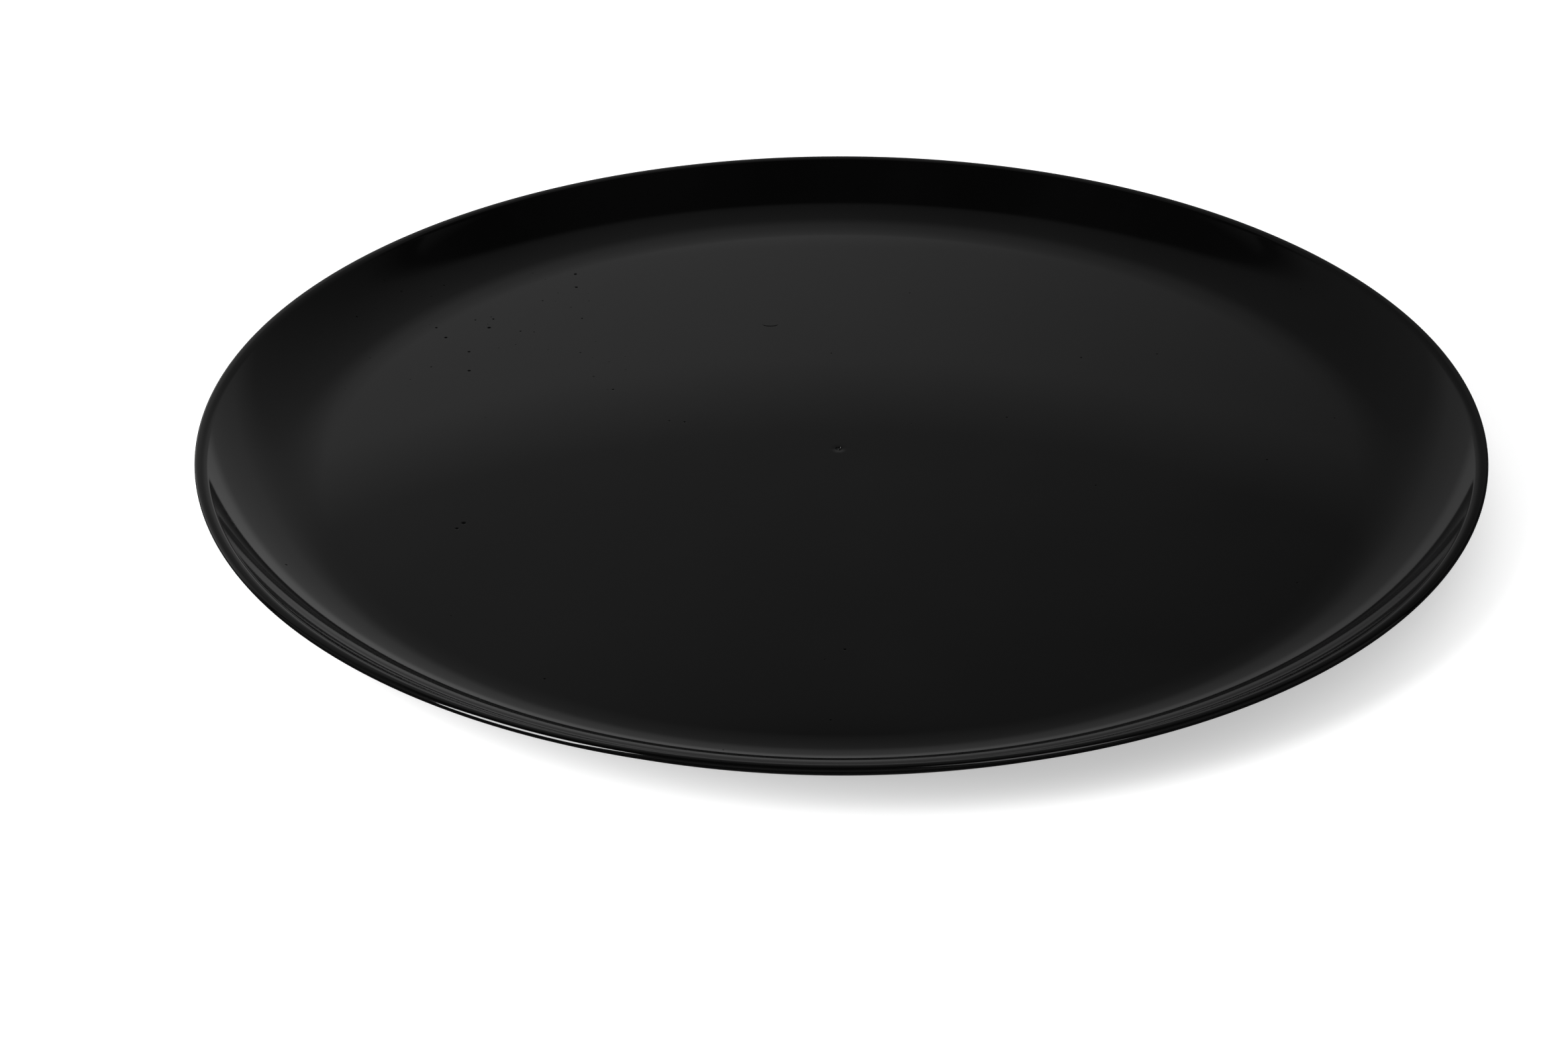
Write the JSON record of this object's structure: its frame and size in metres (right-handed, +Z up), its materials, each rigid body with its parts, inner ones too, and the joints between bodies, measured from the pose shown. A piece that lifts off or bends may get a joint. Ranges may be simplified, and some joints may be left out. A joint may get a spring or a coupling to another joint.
{
  "type": "serving tray",
  "caption": "Round shallow serving tray with a flat well, a coved and flared wall, a thin rounded lip and soft non-slip feet under a foot ring.",
  "frame": {"origin": "on the tray's axis, at the level that the feet stand on", "axes": "+Z up along the tray's axis; -Y is the side nearest the viewer; the feet lie on the diagonals between X and Y"},
  "size_m": [0.4059, 0.406, 0.0211],
  "materials": {
    "shell_plastic": "high gloss black on the food side, fine matte under the floor",
    "foot_rubber": "matte dark grey silicone"
  },
  "bodies": {
    "root": {"tray_shell": "shell_plastic", "foot_front_right": "foot_rubber", "foot_back_right": "foot_rubber", "foot_back_left": "foot_rubber", "foot_front_left": "foot_rubber"}
  },
  "joints": []
}
